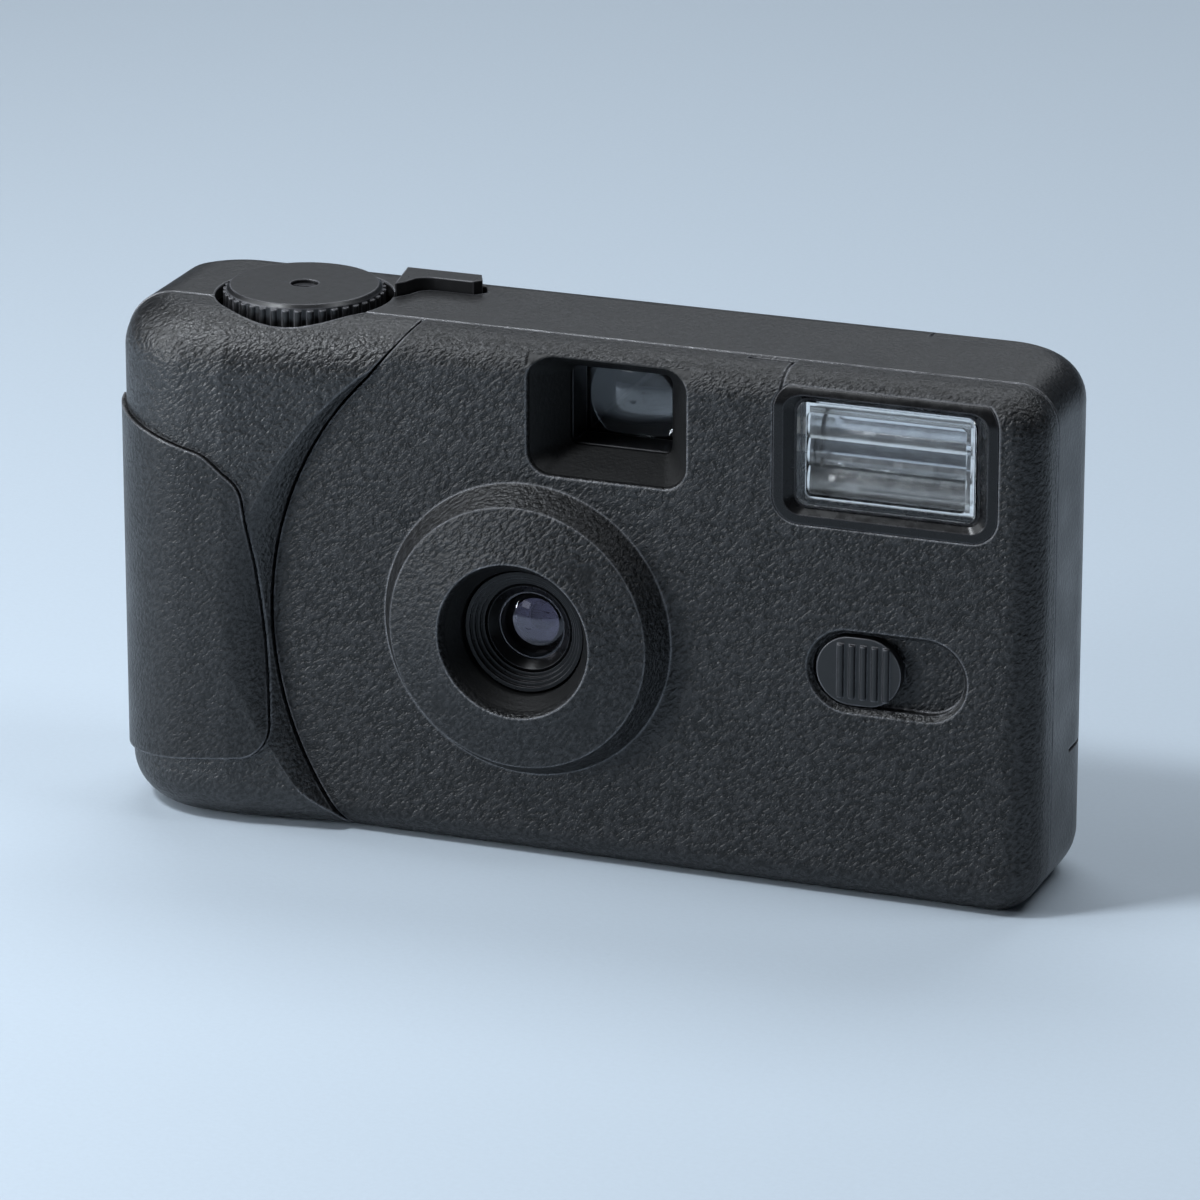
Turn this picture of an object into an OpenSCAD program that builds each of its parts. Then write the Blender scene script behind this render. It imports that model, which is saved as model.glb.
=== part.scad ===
// Compact single-use film camera: moulded covers round a frame that holds lens, shutter, film and flash.
// X runs to the right as seen from the front, Y runs to the back, Z runs up from the base.

/* [Body] */
// Width over the grip pad
body_w = 118; // [114:0.5:124]
// Height without the wheel
body_h = 64; // [63:0.5:68]
// Depth from the front plane to the back
body_d = 26.6; // [26.6:0.1:30]
// Wall of the moulded covers
wall = 1.6; // [1.3:0.05:1.7]
// Depth of the front cover, from the front plane to the seam
seam_depth = 6.5; // [6:0.1:7.2]
// Rounding of the front edges
front_r = 4; // [3:0.1:4.4]
// Rounding of the top edges
top_r = 5; // [4.6:0.1:5.6]
// Rounding of the bottom edges
bottom_r = 6; // [5:0.1:6.6]
// Rounding of the upright corners at the back
rear_corner_r = 11; // [9:0.5:12]
// Width of the groove that shows at a seam
seam_groove = 0.25; // [0.1:0.05:0.4]
// Depth of the groove that shows at a seam
seam_groove_depth = 0.35; // [0.2:0.05:0.5]

/* [Grip] */
// How far the grip stands in front of the front plane
grip_rise = 3.5; // [3:0.1:4.2]
// Rounding of the grip's upright front corner
grip_corner_r = 12; // [10:0.5:14]
// Rounding of the grip's shoulder
shoulder_r = 6.5; // [5.5:0.1:7]
// Turn of the grip's front towards the lens, in degrees
grip_turn = 8.2; // [7.4:0.1:8.4]
// Where that turn begins, in from the left side of the shell
grip_turn_inset = 16.6; // [16:0.1:18]
// Radius of the curved line between grip cover and front cover
parting_r = 43; // [40:0.5:46]
// Centre of that curve, in from the left side
parting_inset = 64.9; // [64:0.1:67]
// Centre of that curve, below mid-height
parting_low = 4.5; // [3:0.5:6]
// Angle above level at which that curve runs on straight, in degrees
parting_lean = 39; // [37:0.5:42]
// Width over which the grip rises from the curved line
grip_blend_w = 6; // [5:0.1:7]
// Gap along the curved line
parting_gap = 0.3; // [0.15:0.05:0.5]
// How far the grip pad stands proud
pad_proud = 0.6; // [0.3:0.1:0.9]
// Depth of the pad's pocket
pad_depth = 0.9; // [0.5:0.1:1]
// Rounding of the pad's outline
pad_corner_r = 4; // [2:0.5:5]
// Width of the pad at its foot
pad_w = 22; // [20:0.5:23]
// Lower edge of the pad, up from the base
pad_bottom = 9; // [8:0.5:12]
// Upper edge of the pad, down from the top
pad_drop = 14; // [12:0.5:18]

/* [Lens] */
// Lens axis, left of the middle
lens_left = 4.4; // [4:0.1:5]
// Lens axis, below mid-height
lens_low = 3.1; // [2.8:0.1:3.4]
// Radius of the lens boss at its foot
boss_r = 18.2; // [17:0.1:19]
// Radius of the boss where its steep edge ends
boss_face_r = 16.2; // [14:0.1:16.8]
// Height of the boss
boss_h = 5; // [4.8:0.1:6]
// Height of the steep edge of the boss
boss_edge_h = 3.5; // [2.5:0.1:4]
// Radius of the lens opening at its rim
opening_r = 9.6; // [9:0.1:10.5]
// Depth of the conical part of the opening
opening_depth = 3.4; // [3:0.1:4]
// Radius of the bore behind the cone
bore_r = 7.8; // [7.4:0.1:8.2]
// Radius of the taking lens
glass_r = 4.6; // [4.2:0.1:4.8]
// Radius of the aperture
aperture_r = 1.3; // [0.8:0.1:1.5]

/* [Viewfinder] */
// Viewfinder axis, across
finder_x = 5.6; // [5:0.1:7]
// Viewfinder axis, down from the top
finder_drop = 8.2; // [8:0.1:9]
// Width of the recess at the front
finder_w = 20.2; // [18:0.1:21]
// Height of the recess at the front
finder_h = 15; // [13:0.1:15.2]
// Width of the window at the end of the recess
finder_window_w = 12.6; // [10:0.1:13]
// Height of the window at the end of the recess
finder_window_h = 9.6; // [8:0.1:10]
// Depth of the recess
finder_depth = 5.6; // [5:0.1:6]

/* [Flash] */
// Flash axis, in from the right side
flash_inset = 19; // [18.5:0.1:20.5]
// Flash axis, down from the top
flash_drop = 9.4; // [9:0.1:10]
// Width of the bezel
bezel_w = 27.4; // [26:0.1:28]
// Height of the bezel
bezel_h = 17; // [16:0.1:17.4]
// Width of the flash window
flash_w = 21.8; // [20:0.1:22]
// Height of the flash window
flash_h = 12.6; // [11.5:0.1:12.8]
// Lobes across the flash window
flash_ribs = 3; // [2:1:4]
// Switch axis, in from the right side
switch_inset = 18.4; // [18:0.1:20]
// Switch axis, up from the base
switch_z = 28.6; // [26:0.1:31]
// Length of the switch slot
switch_l = 19.9; // [19:0.1:21]
// Height of the switch slot
switch_h = 10.4; // [9.6:0.1:11]
// Length of the switch knob
knob_l = 10.4; // [10:0.1:11]
// Travel of the switch
switch_travel = 6.8; // [5:0.1:6.8]
// Ribs on the switch knob
knob_ribs = 5; // [3:1:6]

/* [Film and wheel] */
// Wheel axis, in from the left side
wheel_inset = 21.8; // [21.2:0.1:22.4]
// Wheel axis, back from the front plane
wheel_depth = 11.1; // [10.5:0.1:12]
// Radius of the wheel over its ribs
wheel_r = 9.8; // [9:0.1:10]
// How far the wheel stands above the top
wheel_rise = 1.3; // [0.8:0.1:1.6]
// Height of the wheel
wheel_h = 2.8; // [2.4:0.1:3]
// Ribs on the wheel
wheel_ribs = 40; // [24:2:48]
// Room round the wheel
wheel_room = 1; // [0.6:0.1:1.4]
// Height of the film
film_h = 35; // [34:0.1:35.4]
// Width of the picture
gate_w = 36; // [34:0.1:36]
// Height of the picture
gate_h = 24; // [23:0.1:24]
// Teeth on the drive gear and the spool gear
gear_teeth = 13; // [11:2:15]
// Teeth on the film sprocket
sprocket_teeth = 8; // [8:1:8]

/* [Release] */
// Far end of the release pad, right of the wheel axis
lever_reach = 19.8; // [19:0.1:21]
// Rear edge of the lever, in from the back
lever_inset = 5.4; // [5.2:0.1:7]
// How far the lever stands above the top
lever_rise = 1.5; // [1:0.1:1.6]
// Largest swing of the release lever in degrees
release_angle = 6; // [3:0.5:6]

/* [Fits] */
// Running clearance between a pin and its bore
run = 0.05; // [0.03:0.01:0.08]
// Clearance round a moving piece that isn't a fit
free = 0.35; // [0.3:0.05:0.45]
// Clearance round a piece that is set in
set_in = 0.1; // [0.05:0.05:0.2]

/* [Hidden] */
$fn = 64;
slice = 0.01;
far = 200;
left = -body_w / 2;
right = body_w / 2;
rim_y = -(body_d + boss_h) / 2;
front_y = rim_y + boss_h;
seam_y = front_y + seam_depth;
rear_y = front_y + body_d;
grip_y = front_y - grip_rise;
pad_edge_y = seam_y - seam_groove;
pad_corner_side = grip_corner_r + pad_proud;
pad_corner_cut = max(0, grip_y + grip_corner_r - pad_edge_y);
pad_short = pad_corner_side - sqrt(pow(pad_corner_side, 2) - pow(pad_corner_cut, 2));
shell_left = left + pad_proud - pad_short;
in_front = front_y + wall;
in_rear = rear_y - wall;
in_top = body_h - wall;
lens_x = -lens_left;
lens_z = body_h / 2 - lens_low;
wheel_x = left + wheel_inset;
parting_x = left + parting_inset;
parting_z = body_h / 2 - parting_low;
parting_kink = 0.25;

// Switch and circuit board, from the front backwards
switch_floor = 1.9;
switch_back = 1.2;
switch_head = 1.2;
contact_strip = 0.3;
pcb_t = 1.1;
pcb_front = front_y + switch_floor + switch_back + switch_head + 2 * contact_strip;

// Film path, from the back forwards
pressure_t = 1.3;
film_t = 0.2;
film_room = 0.1;
gate_t = 1.5;
film_y = in_rear - pressure_t - film_room - film_t;
gate_back = film_y - film_room;
gate_front = gate_back - gate_t;
film_z = lens_z - film_h / 2;
plate_t = 1.3;

// Cassette, under the grip
cassette_room = 0.3;
cassette_play = 0.95;
cassette_r = min(12.5, (body_d + grip_rise) / 2 - wall - cassette_play);
cassette_x = shell_left + wall + cassette_room + cassette_r;
cassette_y = in_rear - cassette_room / 2 - cassette_r;
cassette_drop = 11.5;
cassette_top = body_h - cassette_drop;
cassette_z = 2 * lens_z - cassette_top;
cap_h = 2;
cap_lip = 0.3;
cassette_t = 0.6;
lip_l = 10.5;
lip_h = 1;
spool_r = 5.5;
spool_end_r = 4;
spool_bore_r = 2.6;
spool_end_h = 1.8;
fork_r = spool_bore_r - free / 2;

// Wheel and its gears
wheel_y = front_y + wheel_depth;
wheel_top = body_h + wheel_rise;
wheel_z = wheel_top - wheel_h;
well_r = wheel_r + wheel_room;
wheel_disc_r = wheel_r - 0.4;
wheel_edge = 0.45;
rib_r = 0.42;
hub_r = 4;
deck_t = 1.4;
deck_top = body_h - 4;
deck_z = deck_top - deck_t;
axle_r = 1.9;
gear_gap = 0.3;
gear_h = 2.4;
gear_top = deck_z - gear_gap;
gear_z = gear_top - gear_h;
gear_step = norm([cassette_x - wheel_x, cassette_y - wheel_y]);
gear_r = gear_step / 2;
gear_angle = atan2(cassette_y - wheel_y, cassette_x - wheel_x);
gear_pitch = 360 / gear_teeth;
screw_r = 1.6;
screw_sink = 1.6;

// Sprocket, supply roll and counter, right of the film gate
sprocket_r = sprocket_teeth * 4.75 / (2 * PI);
sprocket_tooth = 0.9;
sprocket_x = lens_x + gate_w / 2 + 5;
sprocket_y = film_y - sprocket_r;
sprocket_h = 2.6;
perforation_drop = 2;
sprocket_z = lens_z + film_h / 2 - perforation_drop - sprocket_h / 2;
shaft_r = 1.5;
chamber_t = 1.2;
chamber_room = 0.6;
chamber_front = pcb_front + pcb_t + 0.4;
roll_r = (film_y + film_t - chamber_front - chamber_t) / 2 - chamber_room / 2;
roll_x = sprocket_x + sprocket_r + sprocket_tooth + 2 * chamber_room + chamber_t + roll_r;
roll_y = film_y + film_t - roll_r;
roll_bore_r = 2.6;
chamber_x0 = roll_x - roll_r - chamber_room - chamber_t;
chamber_x1 = roll_x + roll_r + chamber_room + chamber_t;
chamber_top = film_z + film_h + 1.2;
chamber_bottom = film_z - 1.2;
drum_r = 7.4;
drum_h = 5.6;
drum_room = 0.8;
drum_x = sprocket_x + shaft_r + drum_room + drum_r + 1.2;
drum_y = in_rear - 0.6 - drum_r;
drum_z = chamber_top + plate_t + 1.6;
drum_marks = 30;

// Partition between the cassette and the light tunnel
partition_x0 = max(cassette_x + cassette_r, wheel_x + 1.25 * gear_r) + 0.5;
partition_x1 = partition_x0 + plate_t;
floor_z = cassette_z - 0.3 - plate_t;

// Lens and shutter, from the front backwards
board_y = front_y + 6.4;
board_t = 1.3;
blade_t = 0.3;
blade_gap = 0.2;
blade_y = board_y - blade_gap - blade_t;
barrel_back = blade_y - 0.3;
barrel_front = rim_y + opening_depth + 0.6;
barrel_r = bore_r - free;
barrel_flange_r = bore_r + 1.6;
barrel_flange_t = 1.5;
glass_back = barrel_back - 1.6;
glass_t = 2.4;
ring_t = 1.2;
ring_r = glass_r + 0.9;
glass_front = glass_back - glass_t;
ring_front = glass_front - ring_t + 0.4;
post_r = 0.9;
post_ring_r = bore_r + 0.6;
post_angles = [5, 178, 285];
pivot_dx = -5;
pivot_dz = 13;
pivot_r = 0.8;
blade_l = norm([pivot_dx, pivot_dz]);
blade_w = 4.6;
blade_angle = atan2(-pivot_dx, pivot_dz);
pivot_x = lens_x + pivot_dx;
pivot_z = lens_z + pivot_dz;
tab_h = 4;
tab_w = 1.6;
tab_back = board_y + board_t + 3.6;

// Light tunnel between the shutter board and the film gate
tunnel_t = 1.2;
tunnel_front_w = 16;
tunnel_front_h = 13;

// Release lever, its pin, the striker and their bearings
lever_back = rear_y - lever_inset;
lever_arm = 3;
lever_front = lever_back - lever_arm;
lever_x0 = wheel_x + wheel_r - 0.5;
lever_x1 = wheel_x + lever_reach;
lever_top = body_h + lever_rise;
lever_bottom = in_top + 0.2;
toe_y = lever_back - 7;
toe_w = 2;
elbow_w = 3;
pin_r = 0.5;
hinge_x = lever_x0 + elbow_w / 2;
hinge_z = deck_top + 1.2;
hinge_hub_r = 1;
hinge_lug = 1.2;
lever_shift = (body_h - hinge_z) * sin(release_angle);
stem_x = lever_x1 - 2.2;
stem_w = 1.4;
striker_x = stem_x + 6.5;
striker_z = body_h - 10.4;
striker_pin_r = 0.8;
striker_hub_r = 1.8;
striker_arm_t = 1.4;
lug_t = 1.2;
front_lug_y = board_y + board_t + 0.4;
rear_lug_y = gate_front - lug_t;
stem_z = striker_z + 1.2;
spring_r = 1.2;
spring_wire = 0.22;
shelf_t = 1.2;
shelf_top = body_h - 6;

// Battery at the bottom front, board and capacitor on the right
battery_r = 5.25;
battery_l = 44.5;
battery_y = in_front + 0.3 + battery_r;
battery_z = wall + 0.4 + battery_r;
battery_x0 = lens_x - 15.5;
battery_x1 = battery_x0 + battery_l;
contact_t = 0.4;
contact_room = 0.9;
cradle_t = 1.3;
cradle_h = 12;
pcb_x0 = max(chamber_x0, battery_x1 + contact_t + contact_room + cradle_t + 0.4);
pcb_x1 = right - wall - 1.2;
pcb_z0 = 7;
pcb_z1 = body_h - 20;
part_room = 1.3;
side_room = right - wall - chamber_x1 - 2 * part_room;
depth_room = in_rear - rear_corner_r / 2 - pcb_front - pcb_t - 2 * part_room;
capacitor_r = min(side_room, depth_room) / 2;
capacitor_x = right - wall - part_room - capacitor_r;
capacitor_y = pcb_front + pcb_t + part_room + capacitor_r;
capacitor_z = 8;
coil_size = 1.6 * capacitor_r;
coil_z = pcb_z1 - coil_size;
capacitor_top = coil_z - part_room;

finder_lens_y = front_y + finder_depth + 3.6;
finder_lens_t = 2.4;
flash_x = right - flash_inset;
flash_z = body_h - flash_drop;
finder_z = body_h - finder_drop;
switch_x = right - switch_inset;
bezel_face = 1;
bezel_collar = 3.6;
trough_h = flash_h - 0.6;
trough_depth = 4;
trough_r = (pow(trough_h / 2, 2) + pow(trough_depth, 2)) / (2 * trough_depth);
trough_t = 0.5;
trough_front = 2.6;
tube_r = 1.1;
tube_depth = 4.85;
knob_h = switch_h - 2;
knob_rest = -(switch_l - knob_l) / 2 + 1.2;
foot_w = 2.2;
foot_h = 1.8;
foot_x = knob_rest - knob_l / 2 + 1;
notch_x = flash_x - bezel_w / 2 + 0.9;
notch_w = 5.8;
eyepiece_w = 9;
eyepiece_h = 7;
lamp_r = 1.6;
lamp_x = right - 9;
lamp_z = chamber_top + plate_t + lamp_r + 0.6;
window_w = 6;

black = [0.10, 0.10, 0.11];
dark = [0.16, 0.16, 0.18];
steel = [0.70, 0.71, 0.73];
clear = [0.80, 0.86, 0.92, 0.5];

// Half section of a plate's edge: w wide, h high, rounded on its outer side
module edge_profile(w, h, rt, rb) {
    difference() {
        square([w, h]);
        if (rt > 0) translate([w - rt, h - rt]) round_waste(rt);
        if (rb > 0) translate([w - rb, rb]) mirror([0, 1]) round_waste(rb);
    }
}

// What a round corner of radius r leaves of its square
module round_waste(r) {
    difference() {
        square(r + 1);
        circle(r);
    }
}

// One straight side of a slab, with its outer face towards +X turned by the angle
module slab_side(x, y, angle, length, w, h, rt, rb) {
    translate([x, y, 0])
        rotate([0, 0, angle])
            rotate([90, 0, 0])
                linear_extrude(length) edge_profile(w, h, rt, rb);
}

// Slab with its own radius r at each upright corner, rt along the top edges and rb along the bottom edges
module slab(x0, x1, y0, y1, h, r, rt, rb) {
    m = max(r);
    corners = [
        [x0 + r[0], y0 + r[0], 180],
        [x1 - r[1], y0 + r[1], 270],
        [x1 - r[2], y1 - r[2], 0],
        [x0 + r[3], y1 - r[3], 90]
    ];
    for (i = [0:3])
        translate([corners[i][0], corners[i][1], 0])
            rotate([0, 0, corners[i][2]])
                rotate_extrude(angle = 90) edge_profile(r[i], h, rt, rb);
    slab_side(x1 - m, y1 - r[2], 0, y1 - r[2] - y0 - r[1], m, h, rt, rb);
    slab_side(x0 + r[3], y1 - m, 90, x1 - r[2] - x0 - r[3], m, h, rt, rb);
    slab_side(x0 + m, y0 + r[0], 180, y1 - r[3] - y0 - r[0], m, h, rt, rb);
    slab_side(x1 - r[1], y0 + m, 270, x1 - r[1] - x0 - r[0], m, h, rt, rb);
    translate([x0 + m, y0 + m, 0]) cube([x1 - x0 - 2 * m, y1 - y0 - 2 * m, h]);
}

// Box between two corners
module box(low, high) {
    translate(low) cube(high - low);
}

// Upright cylinder between two heights
module post(x, y, z0, z1, r) {
    translate([x, y, z0]) cylinder(h = z1 - z0, r = r);
}

// Cylinder along Y between two depths
module pin_y(x, z, y0, y1, r) {
    translate([x, y1, z]) rotate([90, 0, 0]) cylinder(h = y1 - y0, r = r);
}

// Cylinder along X between two places
module pin_x(y, z, x0, x1, r) {
    translate([x0, y, z]) rotate([0, 90, 0]) cylinder(h = x1 - x0, r = r);
}

// Flat shape on the front plane, with local z pointing forwards
module on_front(x, z) {
    translate([x, front_y, z]) rotate([90, 0, 0]) children();
}

// Rectangle with round corners, centred
module rounded_rect(w, h, r) {
    square([w - 2 * r, h], center = true);
    square([w, h - 2 * r], center = true);
    for (x = [-1, 1], y = [-1, 1])
        translate([x * (w / 2 - r), y * (h / 2 - r)]) circle(r);
}

// Plate of that outline between two heights
module rounded_plate(w, h, r, z0, z1) {
    translate([0, 0, z0]) linear_extrude(z1 - z0) rounded_rect(w, h, r);
}

// Block that narrows from one rounded outline to another
module rounded_taper(w0, h0, r0, z0, w1, h1, r1, z1) {
    hull() {
        rounded_plate(w0, h0, r0, z0, z0 + slice);
        rounded_plate(w1, h1, r1, z1, z1 + slice);
    }
}

// Wire of radius r swept along a list of points
module wire(points, r) {
    sides = 6;
    last = len(points) - 1;
    function ahead(i) = points[min(i + 1, last)] - points[max(i - 1, 0)];
    function unit(v) = v / norm(v);
    function across(t) = unit(abs(t[2]) < 0.8 * norm(t) ? cross(t, [0, 0, 1]) : cross(t, [1, 0, 0]));
    rings = [
        for (i = [0:last])
            let (t = unit(ahead(i)), a = across(t), b = cross(t, a))
                for (k = [0:sides - 1])
                    points[i] + r * (cos(360 * k / sides) * a + sin(360 * k / sides) * b)
    ];
    walls = [
        for (i = [0:last - 1], k = [0:sides - 1])
            let (p = i * sides + k, q = i * sides + (k + 1) % sides)
                each [[p, p + sides, q], [q, p + sides, q + sides]]
    ];
    cap0 = [for (k = [1:sides - 2]) [0, k, k + 1]];
    cap1 = [for (k = [1:sides - 2]) [last * sides, last * sides + k + 1, last * sides + k]];
    polyhedron(rings, concat(walls, cap0, cap1));
}

// Spur gear with straight-sided teeth, one of them along +X
module spur(teeth, pitch_r, h) {
    m = 2 * pitch_r / teeth;
    root = pitch_r - 1.15 * m;
    tip = pitch_r + 0.75 * m;
    foot = 0.78 * m;
    nose = 0.34 * m;
    core = root / 2;
    tooth = [[core, -foot], [root, -foot], [tip, -nose], [tip, nose], [root, foot], [core, foot]];
    cylinder(h = h, r = root);
    for (i = [0:teeth - 1])
        rotate([0, 0, 360 * i / teeth])
            linear_extrude(h) polygon(tooth);
}

// Outer form of the front, moved in by i
module front_form(i) {
    base_y = seam_y + 2;
    b = bottom_r - i;
    t = top_r - i;
    translate([0, base_y, 0])
        rotate([90, 0, 0])
            slab(left, right - i, i, body_h - i, base_y - front_y - i, [b, b, t, t], front_r - i, 0);
}

// Outer form of the grip, moved in by i: its front turns towards the lens and ends at a curved line
module grip_form(i) {
    m = grip_corner_r - i;
    h = body_h - 2 * i;
    t = shoulder_r - i;
    b = bottom_r - i;
    blend_r = (pow(grip_blend_w, 2) + pow(grip_rise, 2)) / (2 * grip_rise);
    difference() {
        intersection() {
            translate([0, 0, i])
                slab(shell_left + i, right, grip_y + i, rear_y, h, [m, m, m, m], t, b);
            translate([shell_left + grip_turn_inset, grip_y + i, i])
                rotate([0, 0, grip_turn])
                    slab(-far / 2, far / 2, 0, far / 2, h, [m, m, m, m], t, b);
        }
        translate([parting_x, 0, parting_z])
            rotate([90, 0, 0])
                rotate_extrude()
                    difference() {
                        translate([0, -front_y - i]) square([parting_r + grip_blend_w, far]);
                        translate([parting_r + grip_blend_w, -grip_y - i - blend_r]) circle(blend_r);
                    }
    }
}

// Outer form of the back, moved in by i
module rear_form(i) {
    m = rear_corner_r - i;
    h = body_h - 2 * i;
    t = top_r - i;
    b = bottom_r - i;
    s = shoulder_r - i;
    difference() {
        translate([0, 0, i])
            slab(shell_left + i, right - i, seam_y - far / 4, rear_y - i, h, [m, m, m, m], t, b);
        translate([shell_left + shoulder_r, far / 2, body_h - shoulder_r])
            rotate([90, 0, 0])
                linear_extrude(far) mirror([1, 0]) round_waste(s);
    }
}

// Everything on the front cover's side of the curved parting line, which is moved by gap
module front_side(gap) {
    pin_y(parting_x, parting_z, front_y - far / 2, seam_y, parting_r + gap);
    box([parting_x, front_y - far / 2, -far / 2], [far, seam_y, far / 2]);
    translate([parting_x, seam_y, parting_z])
        rotate([90, 0, 0])
            linear_extrude(seam_depth + far / 2)
                rotate(-parting_lean)
                    translate([parting_kink - parting_r - gap, 0]) square([parting_r, far / 2]);
}

// Groove round a form at one side of the seam
module seam_cut(y0, y1) {
    difference() {
        box([left - 1, y0, -1], [right + 1, y1, body_h + 1]);
        children();
    }
}

// Well for the advance wheel
module wheel_well() {
    post(wheel_x, wheel_y, deck_top, wheel_top + 1, well_r);
}

// Ring of the lens boss, with local z = 0 on the front plane
module boss() {
    skin = 1.5;
    rotate_extrude()
        polygon([
            [boss_r, -wall],
            [boss_r, 0],
            [boss_face_r, boss_edge_h],
            [opening_r, boss_h],
            [bore_r, boss_h - opening_depth],
            [bore_r, -wall],
            [bore_r + skin, -wall],
            [bore_r + skin, boss_h - opening_depth - skin / 2],
            [boss_face_r - skin, boss_edge_h - skin],
            [boss_r - skin, -wall]
        ]);
}

// Stadium outline of the switch slot
module stadium(l, h, z0, z1) {
    rounded_plate(l, h, h / 2 - slice, z0, z1);
}

module front_cover() {
    rim = 1.3;
    notch_depth = 1.8;
    line_w = 0.35;
    color(black)
        intersection() {
            difference() {
                union() {
                    difference() {
                        front_form(0);
                        front_form(wall);
                        on_front(lens_x, lens_z) cylinder(h = 2 * wall, r = boss_r - 0.5, center = true);
                    }
                    on_front(lens_x, lens_z) boss();
                    intersection() {
                        front_form(0);
                        on_front(finder_x, finder_z)
                            rounded_taper(finder_w + 2 * rim, finder_h + 2 * rim, 3, 0,
                                finder_window_w + 2 * rim, finder_window_h + 2 * rim, 1.5, -finder_depth);
                    }
                    on_front(switch_x, switch_z)
                        stadium(switch_l + 2 * rim, switch_h + 2 * rim,
                            -switch_floor - switch_back, -wall / 2);
                }
                on_front(finder_x, finder_z)
                    rounded_taper(finder_w, finder_h, 3, slice,
                        finder_window_w, finder_window_h, 1, -finder_depth - slice);
                on_front(flash_x, flash_z) {
                    rounded_plate(bezel_w + 2 * set_in, bezel_h + 2 * set_in, 3.3,
                        -bezel_face, bezel_face);
                    rounded_plate(flash_w + 3, flash_h + 2.2, 2, -far / 4, far / 4);
                }
                on_front(switch_x, switch_z) {
                    rounded_taper(switch_l, switch_h, switch_h / 2 - slice, slice,
                        switch_l - 1.3, switch_h - 1.3, switch_h / 2 - 0.66, -0.7);
                    stadium(switch_l - 1.3, switch_h - 1.3, -switch_floor, 0);
                    translate([foot_x - free, -foot_h / 2 - free, -far / 8])
                        cube([foot_w + switch_travel + 2 * free, foot_h + 2 * free, far / 8]);
                }
                box([notch_x - notch_w, seam_y - 1.6, body_h - notch_depth],
                    [notch_x, seam_y + 1, body_h + 1]);
                difference() {
                    box([notch_x - line_w, front_y - 1, flash_z], [notch_x, seam_y, body_h + 1]);
                    front_form(seam_groove_depth);
                }
                seam_cut(seam_y - seam_groove, seam_y + 1) front_form(seam_groove_depth);
            }
            front_side(0);
        }
}

// Outline of the grip pad seen from the front, moved out by grow
module pad_outline(grow) {
    top = body_h - pad_drop;
    outer = shell_left - pad_w / 2;
    inner = shell_left + pad_w;
    offset(delta = grow)
        offset(r = pad_corner_r)
            offset(delta = -pad_corner_r)
                polygon([
                    [outer, top + 3],
                    [shell_left + pad_w * 0.12, top],
                    [inner - pad_w * 0.36, top - 2.8],
                    [inner - pad_w * 0.15, top - 6.6],
                    [inner - pad_w * 0.09, top - 16],
                    [inner, pad_bottom + 0.6],
                    [inner - pad_w * 0.24, pad_bottom],
                    [outer, pad_bottom - 3.4]
                ]);
}

// The pad's outline as a block through the grip
module pad_block(grow) {
    translate([0, seam_y, 0]) rotate([90, 0, 0]) linear_extrude(far / 8) pad_outline(grow);
}

module grip_cover() {
    color(black)
        difference() {
            grip_form(0);
            grip_form(wall);
            front_side(parting_gap);
            box([-far, seam_y, -far], [far, far, far]);
            box([parting_x, -far, -far], [far, far, far]);
            wheel_well();
            difference() {
                pad_block(set_in);
                grip_form(pad_depth);
            }
            seam_cut(seam_y - seam_groove, seam_y + 1) grip_form(seam_groove_depth);
        }
}

module grip_pad() {
    color(dark)
        difference() {
            intersection() {
                grip_form(-pad_proud);
                pad_block(0);
            }
            grip_form(pad_depth);
            box([-far, pad_edge_y, -far], [far, far, far]);
        }
}

// Outline of the release lever from above, moved out by grow
module lever_outline(grow) {
    inner_r = 2.4;
    offset(delta = grow)
        offset(r = -inner_r)
            offset(delta = inner_r)
                polygon([
                    [lever_x0 + toe_w * 0.6, toe_y],
                    [lever_x0 + toe_w, toe_y + 1.2],
                    [lever_x0 + elbow_w, lever_front],
                    [lever_x1 - 0.8, lever_front],
                    [lever_x1, lever_front + 1],
                    [lever_x1 - 0.9, lever_back],
                    [lever_x0, lever_back]
                ]);
}

module rear_cover() {
    groove = 0.5;
    latch_y = rear_y - 9;
    latch_z = [lens_z - 12, lens_z + 17];
    latch_foot = 4.4;
    step_h = 0.3;
    color(black)
        difference() {
            rear_form(0);
            rear_form(wall);
            box([-far, -far, -far], [far, seam_y, far]);
            wheel_well();
            for (shift = [0, lever_shift])
                translate([shift, 0, deck_top]) linear_extrude(far / 8) lever_outline(free);
            seam_cut(seam_y - 1, seam_y + seam_groove / 2) rear_form(seam_groove_depth);
            translate([finder_x, rear_y, finder_z]) rotate([90, 0, 0]) {
                rounded_plate(eyepiece_w, eyepiece_h, 1.4, -1, far / 8);
                rounded_plate(eyepiece_w + 3, eyepiece_h + 3, 2.4, -1, 0.6);
            }
            translate([drum_x, rear_y, drum_z + drum_h / 2]) rotate([90, 0, 0])
                rounded_plate(window_w, drum_h, 1.2, -1, far / 8);
            pin_y(lamp_x, lamp_z, in_rear - 1, rear_y + 1, lamp_r + set_in);
            box([right - groove, latch_y, latch_z[0]], [right + 1, latch_y + groove, latch_z[1]]);
            box([right - groove, latch_y - latch_foot, latch_z[0]],
                [right + 1, latch_y, latch_z[0] + groove]);
            box([flash_x - 1.5, rear_y - 6, body_h - step_h], [far, far, far]);
        }
}

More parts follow.
